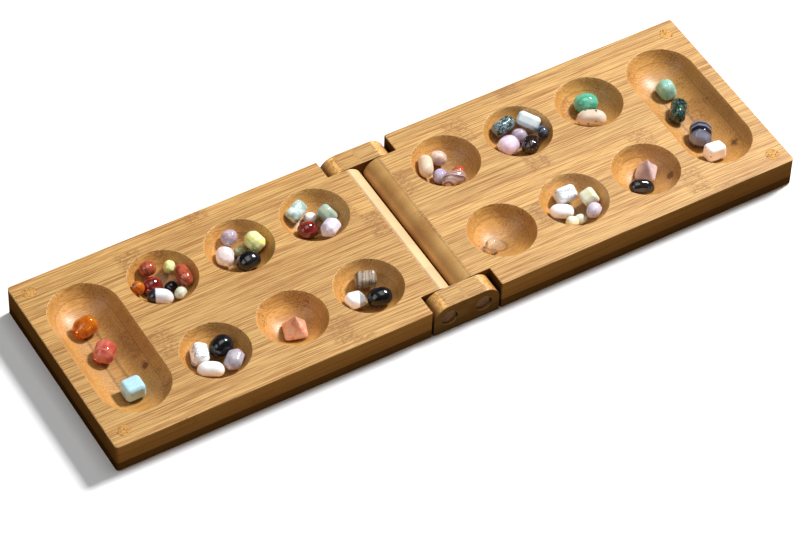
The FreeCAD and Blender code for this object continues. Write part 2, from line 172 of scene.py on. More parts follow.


# Colours that the photograph gives: a painted highlight on the left half's rolled edge, the mottled culm
# joints, and a painted shade that darkens and browns the hollows
PAINTED_ROLL_HIGHLIGHT = (0.80, 0.56, 0.34)
CULM_MARK = (0.43, 0.185, 0.042)
PAINTED_HOLLOW_SHADE = (0.82, 0.74, 0.63)

# Corners closer than this are one, the flat wood beside a plug, and the floor's reach and drop
WELD = 2e-6
PLUG_PATCH = (0.0080, 0.0083)
FLOOR_REACH = 3.0
FLOOR_DROP = 0.00015

# How many steps the stretches of a half have, where two that meet need the same: along a store's
# straight run, on to the notch, on to the back edge, across a column of pits, and by a plug
RUN_STEPS, NOTCH_STEPS, BACK_STEPS, COLUMN_STEPS, PLUG_STEPS = 14, 12, 10, 26, 14

# Rounding of the ends of the dowels and the plugs, steps that halve a stone's reach, its waves
DOWEL_EASE, PLUG_EASE = 0.0004, 0.00015
HALVINGS, WAVES = 26, 5

# Small dark knots in the hollows' walls
KNOTS = ((-0.1746, -0.0145, 0.0120), (0.2008, -0.0298, 0.0110), (0.1529, -0.0353, 0.0129))


# Meshes


def add_piece(name, points, faces, materials, body, node):
    """Make one mesh piece from arrays, weld it, turn its faces outwards and hand it over."""
    mesh = bpy.data.meshes.new(name)
    mesh.from_pydata(points.tolist(), [], faces)
    work = bmesh.new()
    work.from_mesh(mesh)
    bmesh.ops.remove_doubles(work, verts=work.verts, dist=WELD)
    bmesh.ops.recalc_face_normals(work, faces=work.faces)
    work.to_mesh(mesh)
    work.free()
    mesh.polygons.foreach_set("use_smooth", np.full(len(mesh.polygons), True))
    piece = bpy.data.objects.new(name, mesh)
    bpy.context.scene.collection.objects.link(piece)
    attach(piece, body)
    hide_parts(node)
    piece.data.materials.clear()
    for material in materials:
        piece.data.materials.append(material)
    return piece


def add_wood(name, points, faces, materials, body, node):
    """A wooden piece: its normals are weighted by face area, so that flat faces look flat."""
    piece = add_piece(name, points, faces, materials, body, node)
    weighted = piece.modifiers.new("flat_faces", "WEIGHTED_NORMAL")
    weighted.weight = 100
    weighted.keep_sharp = True


def grid_faces(rows, columns):
    """Quads of a grid of points, row after row."""
    index = np.arange(rows * columns).reshape(rows, columns)
    corners = [index[:-1, :-1], index[1:, :-1], index[1:, 1:], index[:-1, 1:]]
    return np.stack(corners, -1).reshape(-1, 4)


def joined(sheets):
    """Several grids of points as one list of points and one of faces."""
    points, faces, start = [], [], 0
    for sheet in sheets:
        points.append(sheet.reshape(-1, 3))
        faces += (grid_faces(*sheet.shape[:2]) + start).tolist()
        start += len(points[-1])
    return np.concatenate(points), faces


def run(start, end, count):
    """Evenly spaced points from start towards end, without the end itself."""
    share_of_way = np.arange(count)[:, None] / count
    start, end = np.array(start, float), np.array(end, float)
    return start + (end - start) * share_of_way


def arc(centre, radius, start, end, count):
    """Points of a circular arc and its outward directions, from start to end in degrees."""
    angle = np.radians(np.linspace(start, end, count))
    outward = np.stack([np.cos(angle), np.sin(angle)], -1)
    return np.array(centre) + radius * outward, outward


def bowl_profile(half_width, depth, rim, steps=18):
    """Rows of (reach, drop): a ball's arc from the middle outwards, then a parabola that eases
    the rim. The ball has radius (w*w + d*d) / 2d; reach is ball*sin(a), drop is what remains."""
    ball = (half_width**2 + depth**2) / (2 * depth)
    slope = math.asin(half_width / ball)
    angle = np.linspace(0, slope - rim / ball, steps)
    reach = ball * np.sin(angle)
    drop = depth - ball * (1 - np.cos(angle))
    way = np.linspace(0, 1, 5)[1:]
    eased_reach = (1 - way) ** 2 * reach[-1] + 2 * way * (1 - way) * half_width
    eased_reach += way**2 * (half_width + rim)
    eased_drop = (1 - way) ** 2 * drop[-1]
    return np.stack([np.append(reach, eased_reach), np.append(drop, eased_drop)], -1)


def hollow_sheet(boundary, centre, half_run, profile, top):
    """A hollow and the flat wood around it. Each boundary point is joined to the nearest point
    of the hollow's middle line, and each row of the profile lies on these joining lines."""
    along = np.clip(boundary[:, 1] - centre[1], -half_run, half_run)
    core = np.stack([np.full(len(boundary), centre[0]), centre[1] + along], -1)
    outward = boundary - core
    outward /= np.linalg.norm(outward, axis=1, keepdims=True)
    rings = core + profile[:, 0, None, None] * outward
    heights = np.broadcast_to((top - profile[:, 1])[:, None, None], rings.shape[:2] + (1,))
    rings = np.concatenate([rings, heights], -1)
    edge = np.column_stack([boundary, np.full(len(boundary), top)])
    return np.concatenate([rings, edge[None]])


def wall_sheet(outline, outward, easing, heights, foot):
    """The wall around an outline: rows drop from the eased top edge to the eased foot. A row
    lies inside the outline by easing*(1 - sin a) and below the top by easing*(1 - cos a)."""
    angles = np.linspace(0, math.pi / 2, 5)
    rows = []
    for angle in angles:
        inset = easing * (1 - math.sin(angle))
        height = heights - easing * (1 - math.cos(angle))
        rows.append(np.column_stack([outline - outward * inset[:, None], height]))
    for angle in angles[::-1]:
        inset = foot * (1 - math.sin(angle))
        height = np.full(len(outline), foot * (1 - math.cos(angle)))
        rows.append(np.column_stack([outline - outward * inset, height]))
    return np.array(rows)


class HalfOutline:
    """The plan of one half for y >= 0: from the tongue's end at y = 0, round the notch and the
    outer corner, back to y = 0. Each stretch keeps its own range of points."""

    def __init__(self, sizes):
        tongue = BOARD_LOW.x
        side = -LINK_HIGH.y - sizes.link_gap
        notch = LINK_HIGH.x + sizes.notch_gap
        back, end = BOARD_HIGH.y, BOARD_HIGH.x
        self.side = side
        self.roll = THICKNESS / 2
        self.roll_start = tongue + self.roll
        self.lines = [sizes.pit_first + (column - 0.5) * sizes.pit_pitch for column in (1, 2, 3)]
        self.plug_x = PLUG_X - PLUG_PATCH[0]
        self.plug_y = PLUG_Y - PLUG_PATCH[1]
        self.middle = sizes.store_half_run
        self.ranges = {}
        self.points, self.outward = [], []

        self.add("tongue_end_low", run((tongue, 0), (tongue, self.middle), RUN_STEPS), (-1, 0))
        self.add("tongue_end_high", run((tongue, self.middle), (tongue, side), NOTCH_STEPS), (-1, 0))
        angle = np.radians(np.linspace(90, 0, 13))[:-1]
        roll = self.roll_start - self.roll * np.sin(angle)
        self.add("tongue_roll", np.column_stack([roll, np.full(12, side)]), (0, 1))
        self.add("tongue_flat", run((self.roll_start, side), (notch, side), 5), (0, 1))
        self.add("inner_corner", np.array([[notch, side]]), (-1, 1))
        small = sizes.notch_corner
        rise = run((notch, side), (notch, back - small), 7)[1:]
        self.add("notch_wall", rise, (-1, 0))
        self.add_arc("notch_corner", (notch + small, back - small), small, 180, 90, 5)
        columns = [notch + small, *self.lines, self.plug_x, end - sizes.corner]
        names = ("back_inner", "back_middle", "back_outer", "back_store", "back_plug")
        for name, start, stop in zip(names, columns, columns[1:]):
            edge = run((start, back), (stop, back), COLUMN_STEPS)
            self.add(name, edge[1 if name == names[0] else 0 :], (0, 1))
        self.add_arc("outer_corner", (end - sizes.corner, back - sizes.corner), sizes.corner, 90, 0, 9)
        beside = run((end, back - sizes.corner), (end, self.plug_y), PLUG_STEPS)
        self.add("end_plug", beside[1:], (1, 0))
        self.add("end_high", run((end, self.plug_y), (end, self.middle), BACK_STEPS), (1, 0))
        self.add("end_low", run((end, self.middle), (end, 0), RUN_STEPS), (1, 0))
        self.add("end_last", np.array([[end, 0]]), (1, 0))
        self.points = np.concatenate(self.points)
        self.outward = np.concatenate(self.outward)

        x = self.points[:, 0]
        drop = np.clip(self.roll_start - x, 0, self.roll)
        self.heights = THICKNESS - self.roll + np.sqrt(self.roll**2 - drop**2)
        taper = np.clip((x - tongue) / (self.roll / 2), 0, 1)
        self.easing = sizes.edge * taper
        self.top = self.points - self.outward * self.easing[:, None]

    def add(self, name, points, outward):
        """Add a stretch whose points share one outward direction."""
        start = sum(len(stretch) for stretch in self.points)
        self.ranges[name] = (start, start + len(points))
        self.points.append(points)
        self.outward.append(np.tile(np.array(outward, float), (len(points), 1)))

    def add_arc(self, name, centre, radius, start, end, count):
        """Add a rounded corner."""
        points, outward = arc(centre, radius, start, end, count)
        self.add(name, points, (0, 0))
        self.outward[-1] = outward

    def stretch(self, first, last, close=True):
        """Top edge points from one named stretch to another, with the next point after them."""
        start, stop = self.ranges[first][0], self.ranges[last][1]
        return self.top[start : stop + (1 if close else 0)]


def mirrored(points, faces, bottom):
    """Both halves of a shape that is drawn for y >= 0, with one flat bottom face for each."""
    other = points * np.array([1, -1, 1])
    count = len(points)
    flipped = [[corner + count for corner in face] for face in faces]
    under = [list(bottom), [corner + count for corner in bottom]]
    return np.concatenate([points, other]), faces + flipped + under


def board_half(sizes):
    """Points and faces of the half at +X: the hollows with the flat wood between them, the rolled
    inner edge, the walls and the underside."""
    plan = HalfOutline(sizes)

    def upright(x, y_top, top_steps):
        """A line along Y from the board's middle, with a point where the store's end begins."""
        low = run((x, 0), (x, plan.middle), RUN_STEPS)
        return np.concatenate([low, run((x, plan.middle), (x, y_top), top_steps)])

    back = plan.top[plan.ranges["back_middle"][0]][1]
    corner = plan.top[plan.ranges["inner_corner"][0]]
    lines = [upright(x, back, BACK_STEPS) for x in plan.lines]
    notch = plan.stretch("inner_corner", "notch_corner")
    first = np.concatenate([upright(*corner, NOTCH_STEPS), notch])
    lefts = [first, *[np.append(line, [[x, back]], 0) for line, x in zip(lines, plan.lines)]]
    tops = [plan.stretch(name, name) for name in ("back_inner", "back_middle", "back_outer")]
    tops[0] = plan.top[plan.ranges["notch_corner"][1] - 1 : plan.ranges["back_inner"][1] + 1]

    pit = bowl_profile(sizes.pit_radius, sizes.pit_depth, sizes.rim)
    sheets = []
    for column in range(3):
        left, right, top = lefts[column], lefts[column + 1], tops[column]
        floor = run(left[0], right[0], COLUMN_STEPS)
        boundary = np.concatenate([floor, right[:-1], top[::-1][:-1], left[::-1]])
        centre = (sizes.pit_first + column * sizes.pit_pitch, sizes.pit_row)
        sheets.append(hollow_sheet(boundary, centre, 0, pit, THICKNESS))

    store = bowl_profile(sizes.store_half_width, sizes.store_depth, sizes.rim)
    plug_top = plan.top[plan.ranges["back_plug"][0]]
    plug_side = plan.top[plan.ranges["end_high"][0]]
    meet = np.array([plan.plug_x, plan.plug_y])
    end_run = plan.stretch("end_high", "end_last", close=False)[::-1]
    shelf = run(plug_side, meet, PLUG_STEPS)
    step = run(meet, plug_top, PLUG_STEPS)
    boundary = np.concatenate(
        [end_run[:-1], shelf, step, plan.stretch("back_store", "back_store")[::-1][:-1], lefts[3][::-1]]
    )
    sheets.append(
        hollow_sheet(boundary, (sizes.store_place, 0), sizes.store_half_run, store, THICKNESS)
    )

    radius = (PLUG_HIGH.x - PLUG_LOW.x) / 2 + sizes.plug_play
    depth = THICKNESS - MAGNET_LOW.z + sizes.plug_play
    bore = np.array([(0, depth), (radius, depth), (radius, sizes.rim / 3), (radius + sizes.rim / 3, 0)])
    outer = plan.top[plan.ranges["back_plug"][0] : plan.ranges["end_high"][0] + 1]
    boundary = np.concatenate([meet[None], shelf[::-1], outer[::-1][1:], step[::-1]])
    sheets.append(hollow_sheet(boundary, (PLUG_X, PLUG_Y), 0, bore, THICKNESS))

    rolled = slice(plan.ranges["tongue_roll"][0], plan.ranges["inner_corner"][1])
    across = plan.top[rolled]
    bend = plan.middle / plan.side
    share_of_side = np.concatenate(
        [run((0,), (bend,), RUN_STEPS), run((bend,), (1,), NOTCH_STEPS), [[1]]]
    ).ravel()
    low = np.minimum(share_of_side * plan.side, plan.middle)
    high = np.clip((share_of_side * plan.side - plan.middle) / (plan.side - plan.middle), 0, 1)
    y = low[None] + high[None] * (across[:, 1:2] - plan.middle)
    x = np.broadcast_to(across[:, :1], y.shape)
    z = np.broadcast_to(plan.heights[rolled][:, None], y.shape)
    sheets.append(np.stack([x, y, z], -1))

    foot = sizes.foot
    wall = wall_sheet(plan.points, plan.outward, plan.easing, plan.heights, foot)
    sheets.append(wall)
    points, faces = joined(sheets)
    bottom = range(len(points) - wall.shape[1], len(points))
    return mirrored(points, faces, bottom)


def lathe(profile, base, axis, around=64):
    """A turned piece: each row (radius, height) of the profile runs round an axis along y or z,
    as radius*(cos a, sin a) with a from nought to a full turn."""
    angle = np.linspace(0, 2 * math.pi, around + 1)
    profile = np.array(profile, float)
    ring = np.stack([np.cos(angle), np.sin(angle)], -1)
    flat = profile[:, 0, None, None] * ring
    height = np.broadcast_to(profile[:, 1, None, None], flat.shape[:2] + (1,))
    if axis == "z":
        return np.concatenate([flat, height], -1) + np.array(base)
    return np.concatenate([flat[..., :1], height, flat[..., 1:]], -1) + np.array(base)


def rod_profile(radius, low, high, edge):
    """Profile of a rod with eased ends, closed at its axis."""
    angles = np.linspace(0, math.pi / 2, 4)
    inner = radius - edge
    foot = [(inner + edge * math.sin(a), low + edge * (1 - math.cos(a))) for a in angles]
    head = [(inner + edge * math.cos(a), high - edge * (1 - math.sin(a))) for a in angles]
    return [(0, low), *foot, *head, (0, high)]


def link_half(sizes):
    """Half of a link at x >= 0, drawn in the plane of its faces: the eased outline with a round
    hole about the pin, swept from the outer to the inner face."""
    reach, top, small = LINK_HIGH.x, THICKNESS, sizes.notch_corner
    edge = sizes.edge * 1.2
    stretches = [
        (run((0, 0), (reach - small, 0), 12), None, (0, -1)),
        (*arc((reach - small, small), small, -90, 0, 5), None),
        (run((reach, small), (reach, PIN_Z), 10)[1:], None, (1, 0)),
        (*arc((PIN_X, PIN_Z), top - PIN_Z, 0, 90, 25), None),
        (run((PIN_X, top), (0, top), 10)[1:], None, (0, 1)),
        (np.array([[0, top]]), None, (0, 1)),
    ]
    points = np.concatenate([stretch[0] for stretch in stretches])
    outward = np.concatenate(
        [
            stretch[1] if stretch[1] is not None else np.tile(stretch[2], (len(stretch[0]), 1))
            for stretch in stretches
        ]
    ).astype(float)
    inner = points - outward * edge
    middle_line = run(inner[-1], inner[0], 16)[1:]
    boundary = np.concatenate([inner, middle_line, inner[:1]])
    hole = (DOWEL_HIGH.x - DOWEL_LOW.x) / 2 + sizes.dowel_play
    ease = sizes.rim
    direction = boundary - np.array([PIN_X, PIN_Z])
    direction /= np.linalg.norm(direction, axis=1, keepdims=True)
    angles = np.linspace(0, math.pi / 2, 4)
    depth = LINK_HIGH.y - LINK_LOW.y
    rows = [(None, 0.0)]
    rows += [(hole + ease * (1 - math.sin(a)), ease * (1 - math.cos(a))) for a in angles]
    rows += [(hole + ease * (1 - math.sin(a)), depth - ease * (1 - math.cos(a))) for a in angles[::-1]]
    rows += [(None, depth)]
    face = []
    for radius, inwards in rows:
        flat = boundary if radius is None else np.array([PIN_X, PIN_Z]) + radius * direction
        face.append(np.column_stack([flat[:, 0], np.full(len(flat), inwards), flat[:, 1]]))
    skin = []
    for angle in np.concatenate([angles, angles[::-1] + math.pi]):
        far = angle > math.pi / 2 + 0.01
        turn = angle - math.pi if far else angle
        flat = points - outward * edge * (1 - math.sin(turn))
        inwards = edge * (1 - math.cos(turn))
        inwards = depth - inwards if far else inwards
        skin.append(np.column_stack([flat[:, 0], np.full(len(flat), inwards), flat[:, 1]]))
    return np.array(face), np.array(skin)


# Stones


def stone_solids(node):
    """The separate convex solids of a CAD node, each as its middle and the unit normals and
    distances of its faces. Welded corners get labels, and each triangle spreads the lowest."""
    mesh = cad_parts[node].data
    corners = np.zeros(len(mesh.vertices) * 3, np.float32)
    mesh.vertices.foreach_get("co", corners)
    corners = corners.reshape(-1, 3).astype(float)
    mesh.calc_loop_triangles()
    triangles = np.zeros(len(mesh.loop_triangles) * 3, np.int32)
    mesh.loop_triangles.foreach_get("vertices", triangles)
    _, welded = np.unique(np.round(corners, 6), axis=0, return_inverse=True)
    triangles = triangles.reshape(-1, 3)
    merged = welded.ravel()[triangles]
    label = np.arange(merged.max() + 1)
    while True:
        lowest = label[merged].min(axis=1)
        spread = label.copy()
        np.minimum.at(spread, merged.ravel(), np.repeat(lowest, 3))
        if (spread == label).all():
            break
        label = spread
    owner = label[merged[:, 0]]
    solids = []
    for name in np.unique(owner):
        own = corners[triangles[owner == name]]
        middle = (own.reshape(-1, 3).min(0) + own.reshape(-1, 3).max(0)) / 2
        normal = np.cross(own[:, 1] - own[:, 0], own[:, 2] - own[:, 0])
        size = np.linalg.norm(normal, axis=1)
        keep = size > 1e-14
        normal = normal[keep] / size[keep, None]
        distance = ((own[keep, 0] - middle) * normal).sum(1)
        planes = np.unique(np.round(np.column_stack([normal, distance * 1e3]), 4), axis=0)
        solids.append((middle, planes[:, :3], planes[:, 3] / 1e3))
    return solids


def cube_directions(steps):
    """Unit directions on the six faces of a cube, as six grids. A grid's lines are spaced by the
    tangent of even angles, which keeps the cells alike."""
    even = np.tan(np.linspace(-math.pi / 4, math.pi / 4, steps + 1))
    a, b = np.meshgrid(even, even, indexing="ij")
    one = np.ones_like(a)
    faces = [(one, a, b), (-one, b, a), (b, one, a), (a, -one, b), (a, b, one), (b, a, -one)]
    grids = np.array([np.stack(face, -1) for face in faces])
    return grids / np.linalg.norm(grids, axis=-1, keepdims=True)


def stone_reach(directions, normals, distances, wear, dents, random):
    """Distance from a stone's middle to its surface. For a direction u it is the t at which the
    smooth maximum of t*(n.u) - d over the faces, wear*ln(sum(exp((t*(n.u) - d)/wear))), is nought,
    found by halving. That is the solid with its edges worn round. It is swollen until a fifth of
    it would touch the solid, kept inside it, and dented a little by a few broad waves."""
    slopes = directions @ normals.T
    solid = 1 / (np.clip(slopes, 0, None) / distances).max(-1)
    low, high = solid * 0.4, solid
    for _ in range(HALVINGS):
        middle = (low + high) / 2
        over = (middle[..., None] * slopes - distances) / wear
        most = over.max(-1)
        outside = most + np.log(np.exp(over - most[..., None]).sum(-1)) > 0
        high = np.where(outside, middle, high)
        low = np.where(outside, low, middle)
    waves = np.zeros(directions.shape[:-1])
    for _ in range(WAVES):
        axis = random.normal(size=3)
        axis *= random.uniform(1.5, 4.5) / np.linalg.norm(axis)
        waves += np.sin(directions @ axis + random.uniform(0, 2 * math.pi))
    reach = np.minimum(low * np.quantile(solid / low, 0.2), solid * 0.999)
    return reach * (1 - dents * (0.5 + 0.5 * np.clip(waves / 3, -1, 1)))


def pointed(points, middle):
    """Draw a pyramid's sides in to a point: at a share h of its height its plan shrinks to
    (1 - 0.94h) / (1 - 0.65h)."""
    low, high = points[..., 2].min(), points[..., 2].max()
    rise = (points[..., 2] - low) / (high - low)
    scale = (1 - 0.94 * rise) / (1 - 0.65 * rise)
    plan = middle[:2] + (points[..., :2] - middle[:2]) * scale[..., None]
    return np.concatenate([plan, points[..., 2:]], -1)


# Materials


class Finish:
    """A new material and the steps that it is drawn with. A step takes sockets or plain values,
    and all but fill, set, node and bump give one socket, or several by name."""

    def __init__(self, name):
        self.material = bpy.data.materials.new(name)
        self.material.use_nodes = True
        self.tree = self.material.node_tree
        self.shader = self.tree.nodes["Principled BSDF"]

    def fill(self, socket, value):
        """Link a socket to another, or set it to a plain value."""
        if isinstance(value, bpy.types.NodeSocket):
            self.tree.links.new(value, socket)
        else:
            socket.default_value = value

    def set(self, name, value):
        """Fill one of the shader's own sockets."""
        self.fill(self.shader.inputs[name], value)

    def node(self, kind, inputs=None, **settings):
        """Add one node, with its settings, and with its inputs filled by name."""
        made = self.tree.nodes.new(f"ShaderNode{kind}")
        for key, value in settings.items():
            setattr(made, key, value)
        for name, value in (inputs or {}).items():
            self.fill(made.inputs[name], value)
        return made

    def calc(self, operation, *values):
        """One step of arithmetic."""
        return self.node("Math", dict(enumerate(values)), operation=operation).outputs[0]

    def times(self, a, b):
        """a * b"""
        return self.calc("MULTIPLY", a, b)

    def times_plus(self, a, b, c):
        """a * b + c"""
        return self.calc("MULTIPLY_ADD", a, b, c)

    def minus(self, a, b):
        """a - b"""
        return self.calc("SUBTRACT", a, b)

    def rest(self, a):
        """1 - a"""
        return self.calc("SUBTRACT", 1, a)

    def absolute(self, a):
        """a without its sign"""
        return self.calc("ABSOLUTE", a)

    def mix(self, factor, a, b, how="MIX"):
        """Mix two colours by a factor."""
        made = self.node("Mix", data_type="RGBA", blend_type=how, clamp_result=False)
        for index, value in ((0, factor), (6, a), (7, b)):
            plain_colour = index and not isinstance(value, bpy.types.NodeSocket)
            self.fill(made.inputs[index], (*value[:3], 1) if plain_colour else value)
        return made.outputs[2]

    def ramp(self, value, low, high, to_low=0.0, to_high=1.0, smooth=True):
        """Map a value from low..high to another range, kept within it."""
        ends = {"Value": value, "From Min": low, "From Max": high, "To Min": to_low, "To Max": to_high}
        kind = "SMOOTHSTEP" if smooth else "LINEAR"
        return self.node("MapRange", ends, interpolation_type=kind).outputs["Result"]

    def noise(self, vector, scale, detail=2.0, roughness=0.5, distortion=0.0):
        """A noise texture's factor."""
        values = {"Vector": vector, "Scale": scale, "Detail": detail}
        values |= {"Roughness": roughness, "Distortion": distortion}
        return self.node("TexNoise", values).outputs["Fac"]

    def combine(self, x, y, z):
        """A vector from its three parts."""
        return self.node("CombineXYZ", {0: x, 1: y, 2: z}).outputs[0]

    def parts(self, vector):
        """The three parts of a vector, by name."""
        return self.node("SeparateXYZ", {0: vector}).outputs

    def cells(self, vector, scale, randomness=1.0):
        """Scattered cells: their distance and colour."""
        values = {"Vector": vector, "Scale": scale, "Randomness": randomness}
        return self.node("TexVoronoi", values).outputs

    def where(self):
        """Each point's own place on the piece."""
        return self.node("TexCoord").outputs["Object"]

    def bump(self, strength, distance, height):
        """Raise the surface by a height."""
        values = {"Strength": strength, "Distance": distance, "Height": height}
        self.set("Normal", self.node("Bump", values).outputs[0])


def bamboo(
    name, look, tone=(1, 1, 1), plies=(0.42, 0.96, 1.0), offset=0.0, side_tone_and_shade=1.0, upright_limit=0.16, rolled=1.0
):
    """Glued-up bamboo. Strips lie side by side in three layers; each has its own tone and place
    of its culm joints. Fine and broad lines run along X, and the fibre bundles are long thin
    cells, which show as dots where a surface cuts across them. The upright faces get a dark side
    colour, partly their own darker tone and partly painted shade, and the lowest layer's upright
    faces are darker still, also partly painted shade. The end faces, the rolled edges and the
    hollows with their floors get painted shade, the left half's rolled edge a painted highlight,
    and the upright faces grow darker towards the right end: all painted outright, to the
    photographed shades that the lamps alone don't give."""
    finish = Finish(name)
    coordinates = finish.node("TexCoord")
    place = finish.parts(coordinates.outputs["Object"])
    x, y, z = place["X"], place["Y"], place["Z"]
    facing = finish.parts(coordinates.outputs["Normal"])
    across = finish.ramp(finish.absolute(facing["X"]), 0.22, 0.75)
    across = finish.times(across, finish.ramp(finish.absolute(x), 0.012, 0.02))
    # Faces steeper than the upright limit count as upright and take the dark side colour with its painted
    # shade
    upright = finish.ramp(finish.absolute(facing["Z"]), 0.02, upright_limit, 1, 0)

    layer = finish.calc("FLOOR", finish.calc("DIVIDE", z, PLY))
    shifted = finish.calc("ADD", y, finish.times_plus(layer, look.strip * 0.37, offset))
    strip = finish.calc("DIVIDE", shifted, look.strip)
    number = finish.combine(finish.calc("FLOOR", strip), layer, finish.ramp(x, -0.001, 0.001))
    lot = finish.node("TexWhiteNoise", {"Vector": number}, noise_dimensions="3D").outputs
    lots = finish.parts(lot["Color"])

    sway = finish.noise(finish.combine(x, finish.times(y, 0.3), z), 14, 1)
    bent = finish.times_plus(sway, 0.0016, y)
    fine = finish.combine(finish.times_plus(x, 0.014, lots["X"]), bent, z)
    lines = finish.noise(fine, 1 / look.fibre, 3, 0.72)
    broad = finish.combine(finish.times_plus(x, 0.03, lots["Y"]), bent, z)
    bands = finish.noise(broad, 0.28 / look.fibre, 2, 0.5)
    streak = finish.times_plus(bands, 0.16, lines)
    streak = finish.ramp(streak, 0.495, 0.675, smooth=False)
    calm = finish.times(finish.ramp(finish.absolute(x), 0.009, 0.0115, 1, 0), rolled)
    soft = finish.ramp(finish.noise(finish.combine(0.0, y, 0.0), 55, 1), 0.3, 0.7, 0.30, 0.75)
    even = finish.times_plus(finish.minus(soft, streak), 0.85, streak)
    streak = finish.times_plus(finish.minus(even, streak), calm, streak)
    hollow = finish.times(finish.ramp(facing["Z"], -0.1, 0.1), finish.rest(calm))
    hollow = finish.times(hollow, finish.ramp(z, THICKNESS - 0.003, THICKNESS - 0.0002, 1, 0))
    evened = finish.times(finish.minus(0.42, streak), 0.45)
    streak = finish.times_plus(evened, hollow, streak)

    cells = finish.combine(finish.times(x, 0.02), bent, z)
    bundle = finish.cells(cells, 1 / look.bundle_pitch, 0.75)["Distance"]
    crowd = finish.noise(finish.combine(finish.times(x, 0.2), y, z), 95, 2)
    size = finish.ramp(crowd, 0.46, 0.70, 0.06, 0.44)
    inside = finish.minus(size, bundle)
    dots = finish.ramp(inside, -0.03, 0.09)
    dots = finish.times(dots, finish.ramp(across, 0, 1, 0.12, 0.72))

    spacing = finish.calc("DIVIDE", x, look.joint)
    culm = finish.calc("FRACT", finish.calc("ADD", spacing, lots["Z"]))
    near = finish.absolute(finish.minus(culm, 0.5))
    near = finish.ramp(near, 0.028, 0.054, 1, 0)
    speckle = finish.noise(finish.combine(finish.times(x, 0.5), y, z), 850, 3, 0.7, 0.6)
    marks = finish.times(near, finish.ramp(speckle, 0.45, 0.60, 0.10, 0.85))

    seam = finish.absolute(finish.minus(finish.calc("FRACT", strip), 0.5))
    seam = finish.ramp(seam, 0.4945, 0.499, 0, 0.28)
    glue = finish.calc("FRACT", finish.calc("DIVIDE", z, PLY))
    glue = finish.absolute(finish.minus(glue, 0.5))
    glue = finish.ramp(glue, 0.470, 0.490, 0, 0.36)

    light = tuple(channel * part for channel, part in zip(look.light, tone))
    dark = tuple(channel * part for channel, part in zip(look.dark, tone))
    wood = finish.mix(streak, light, dark)
    # Painted highlight: the left half's rolled edge, which faces the key lamp, is paled towards a cream
    # colour
    worn = finish.times(calm, finish.ramp(x, -0.001, 0.001, 0.60, 0))
    wood = finish.mix(worn, wood, PAINTED_ROLL_HIGHLIGHT)
    wood = finish.mix(marks, wood, CULM_MARK)
    wood = finish.mix(dots, wood, tuple(look.bundle))
    for spot in KNOTS:
        far = finish.node("VectorMath", {0: coordinates.outputs["Object"], 1: spot}, operation="DISTANCE")
        ragged = finish.times_plus(speckle, 0.006, far.outputs["Value"])
        wood = finish.mix(finish.ramp(ragged, 0.0046, 0.0060, 0.92, 0), wood, tuple(look.bundle))
    wood = finish.mix(finish.times(across, 0.30), wood, tuple(0.8 * c for c in dark))
    # The upright sides' dark colour: partly their own darker tone, partly painted shade
    side_colour_and_shade = tuple(side_tone_and_shade * channel for channel in look.side_colour_and_shade)
    wood = finish.mix(finish.times(upright, look.side_tone_and_shade), wood, side_colour_and_shade)
    shade = finish.ramp(lots["X"], 0, 1, 0.90, 1.06, smooth=False)
    # Each layer's upright faces get their own shade; the lowest is much darker, partly its own tone and
    # partly painted shade
    for number_of_ply, strength in enumerate(plies):
        here = finish.times(finish.calc("COMPARE", layer, float(number_of_ply), 0.4), upright)
        factor = finish.times_plus(here, strength - 1, 1)
        shade = finish.times(shade, factor)
    # Painted shade on the upright faces that face along X, such as the left end, which faces away from the
    # key lamp
    ends = finish.times(upright, finish.absolute(facing["X"]))
    shade = finish.times(shade, finish.times_plus(ends, -0.55, 1))
    # Upright faces darker towards the right end
    front = finish.times(upright, finish.ramp(x, -0.02, 0.2, 0, 0.34))
    shade = finish.times(shade, finish.rest(front))
    # Painted shade on the rolled edges, most on the right half's, which faces away from the key lamp
    painted_roll_shade = finish.times(calm, finish.ramp(x, -0.001, 0.001, 0.10, 0.34))
    shade = finish.times(shade, finish.rest(painted_roll_shade))
    # Painted shade on the hollows' deep floors, darker towards the bottom
    painted_floor_shade = finish.times(hollow, finish.ramp(z, PLY, 0.6 * THICKNESS, 0.30, 0))
    shade = finish.times(shade, finish.rest(painted_floor_shade))
    shade = finish.times(shade, finish.rest(finish.calc("MAXIMUM", seam, glue)))
    wood = finish.mix(1.0, wood, finish.combine(shade, shade, shade), "MULTIPLY")
    # Painted shade: the hollows are made darker and browner
    wood = finish.mix(hollow, wood, PAINTED_HOLLOW_SHADE, "MULTIPLY")
    finish.set("Base Color", wood)

    rough = finish.times_plus(streak, 0.10, look.gloss)
    rough = finish.times_plus(dots, 0.2, rough)
    finish.set("Roughness", rough)
    relief = finish.times_plus(dots, -0.5, finish.times(streak, -0.6))
    relief = finish.times_plus(marks, -0.3, relief)
    finish.bump(0.35, 0.00006, relief)
    sheen = finish.rest(upright)
    finish.set("Coat Weight", finish.times(sheen, 0.22))
    finish.set("Specular IOR Level", finish.times(sheen, 0.5))
    finish.set("Coat Roughness", 0.42)
    return finish.material


def end_grain(name, look, scale, tone):
    """Bamboo cut across: a pale ground with crowded round fibre ends."""
    finish = Finish(name)
    where = finish.where()
    cells = finish.cells(where, scale / look.bundle_pitch, 0.9)["Distance"]
    crowd = finish.noise(where, 260, 2)
    dots = finish.ramp(finish.minus(finish.ramp(crowd, 0.3, 0.7, 0.2, 0.48), cells), -0.05, 0.1)
    ground = finish.mix(finish.noise(where, 900, 3), look.light, look.dark)
    wood = finish.mix(finish.times(dots, 0.75), ground, look.bundle)
    wood = finish.mix(1.0, wood, tone, "MULTIPLY")
    finish.set("Base Color", wood)
    finish.set("Roughness", look.gloss + 0.12)
    finish.set("Specular IOR Level", 0.15)
    finish.bump(0.3, 0.00005, dots)
    return finish.material


